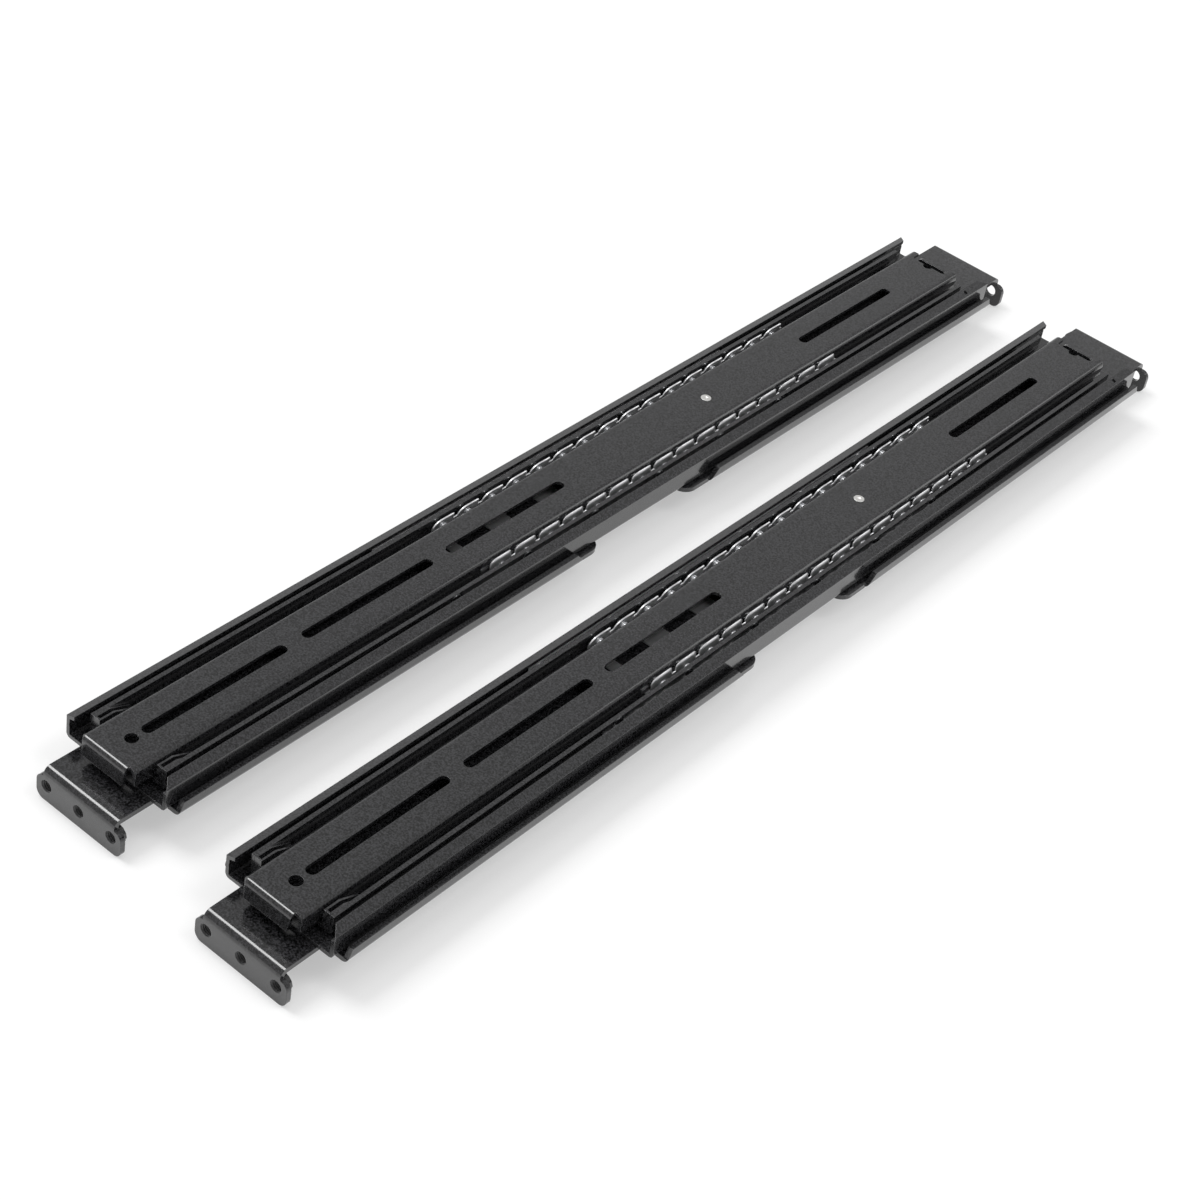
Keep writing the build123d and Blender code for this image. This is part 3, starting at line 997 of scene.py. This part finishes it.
@dataclass
class Studio:
    """A pale floor, an even pale surround and soft lamps."""

    floor_half: float = 6.0
    floor_drop: float = 0.05 * MM
    floor_colour: str = "f3f3f3"
    white_share: float = 0.42
    surround: float = 0.52
    lamps: tuple[Lamp, ...] = (
        Lamp("key_lamp", azimuth=-75, elevation=58, distance=2.4, size=1.0, watts=31),
        Lamp("top_lamp", azimuth=-20, elevation=84, distance=2.4, size=1.0, watts=6),
        Lamp("side_lamp", azimuth=105, elevation=60, distance=2.4, size=0.8, watts=12),
        Lamp("back_lamp", azimuth=145, elevation=30, distance=2.4, size=0.8, watts=3),
    )

    def build_floor(self) -> None:
        """Lays the floor just under the pair.

        The camera and the mirrored rays see the paper part diffuse and part plain white, which lightens
        the shadows as overexposed paper does.
        """
        half = self.floor_half
        mesh = bpy.data.meshes.new("floor")
        corners = [(-half, -half), (half, -half), (half, half), (-half, half)]
        mesh.from_pydata([(x, y, -self.floor_drop) for x, y in corners], [], [(0, 1, 2, 3)])
        material, tree = fresh_material("studio_paper")
        paper = add(tree, "ShaderNodeBsdfDiffuse", {"Color": linear(self.floor_colour)})
        white = add(tree, "ShaderNodeEmission", {"Color": linear("ffffff"), "Strength": 1.0})
        path = add(tree, "ShaderNodeLightPath")
        mirrored = add(
            tree,
            "ShaderNodeMath",
            {0: path.outputs["Is Glossy Ray"], 1: path.outputs["Is Transmission Ray"]},
            operation="MAXIMUM",
        )
        seen = add(
            tree,
            "ShaderNodeMath",
            {0: path.outputs["Is Camera Ray"], 1: mirrored.outputs[0]},
            operation="MAXIMUM",
        )
        share = add(tree, "ShaderNodeMath", {0: seen.outputs[0], 1: self.white_share}, operation="MULTIPLY")
        shader = add(
            tree,
            "ShaderNodeMixShader",
            {0: share.outputs[0], 1: paper.outputs[0], 2: white.outputs[0]},
        )
        add(tree, "ShaderNodeOutputMaterial", {"Surface": shader.outputs[0]})
        mesh.materials.append(material)
        floor = bpy.data.objects.new("floor", mesh)
        bpy.context.scene.collection.objects.link(floor)

    def build_surround(self) -> None:
        """Lights the scene evenly, and shows white behind it."""
        world = bpy.data.worlds.new("surround")
        world.use_nodes = True
        tree = world.node_tree
        tree.nodes.clear()
        seen = add(tree, "ShaderNodeLightPath").outputs["Is Camera Ray"]
        strength = add(tree, "ShaderNodeMix", {"Factor": seen, 2: self.surround, 3: 1.0}, data_type="FLOAT")
        light = add(
            tree, "ShaderNodeBackground", {"Color": linear("ffffff"), "Strength": strength.outputs[0]}
        )
        add(tree, "ShaderNodeOutputWorld", {"Surface": light.outputs[0]})
        bpy.context.scene.world = world

    def build(self) -> None:
        """Builds the floor, the surround and the lamps."""
        self.build_floor()
        self.build_surround()
        for lamp in self.lamps:
            lamp.build()
        bpy.context.scene.view_settings.view_transform = "Standard"
        LOG.info("studio with %d lamps", len(self.lamps))


@dataclass
class PhotoCamera:
    """The camera of the photograph, as fitted to the flange holes, slots and edges of the near rail."""

    position: tuple[float, float, float] = (410.9 * MM, -675.4 * MM, 615.2 * MM)
    azimuth: float = 33.09
    elevation: float = 39.04
    roll: float = 11.04
    lens: float = 76.04
    sensor: float = 36.0
    nearest: float = 10 * MM

    def build(self) -> None:
        """Places the camera and makes it the scene's own."""
        data = bpy.data.cameras.new("photo_camera")
        data.sensor_fit = "HORIZONTAL"
        data.sensor_width = self.sensor
        data.lens = self.lens
        data.clip_start = self.nearest
        camera = bpy.data.objects.new("photo_camera", data)
        bpy.context.scene.collection.objects.link(camera)
        turned = (
            Matrix.Rotation(math.radians(self.azimuth), 4, "Z")
            @ Matrix.Rotation(math.radians(90 - self.elevation), 4, "X")
            @ Matrix.Rotation(math.radians(self.roll), 4, "Z")
        )
        camera.matrix_world = Matrix.Translation(self.position) @ turned
        bpy.context.scene.camera = camera


@dataclass
class RailDetails:
    """The pieces of one rail that are finer than its CAD nodes."""

    rail: Rail
    finishes: Finishes
    ball_counts: dict = field(default_factory=lambda: {Row.INNER: 16, Row.OUTER: 6})

    def build(self) -> None:
        """Builds the balls, retainers, threads, hardware and rivet of this rail."""
        for row, count in self.ball_counts.items():
            balls = BallRow(self.rail, row, self.finishes.ball, count)
            BallRetainer(self.rail, row, self.finishes.zinc, balls).build()
            balls.build()
        TappedHoles(self.rail, self.finishes.coat).build()
        hardware = ClampHardware(self.rail, self.finishes.zinc)
        hardware.studs()
        hardware.nuts()
        LatchRivet(self.rail, self.finishes.rivet).build()


def main() -> None:
    """Loads the frame, dresses it and builds the details, the studio and the camera."""
    logging.basicConfig(level=logging.INFO, format="%(message)s")
    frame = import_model()
    PhotoCamera().build()
    Studio().build()
    finishes = Finishes()
    CadDresser(finishes).dress(frame)
    for rail in Rail:
        RailDetails(rail, finishes).build()


if __name__ == "__main__":
    main()
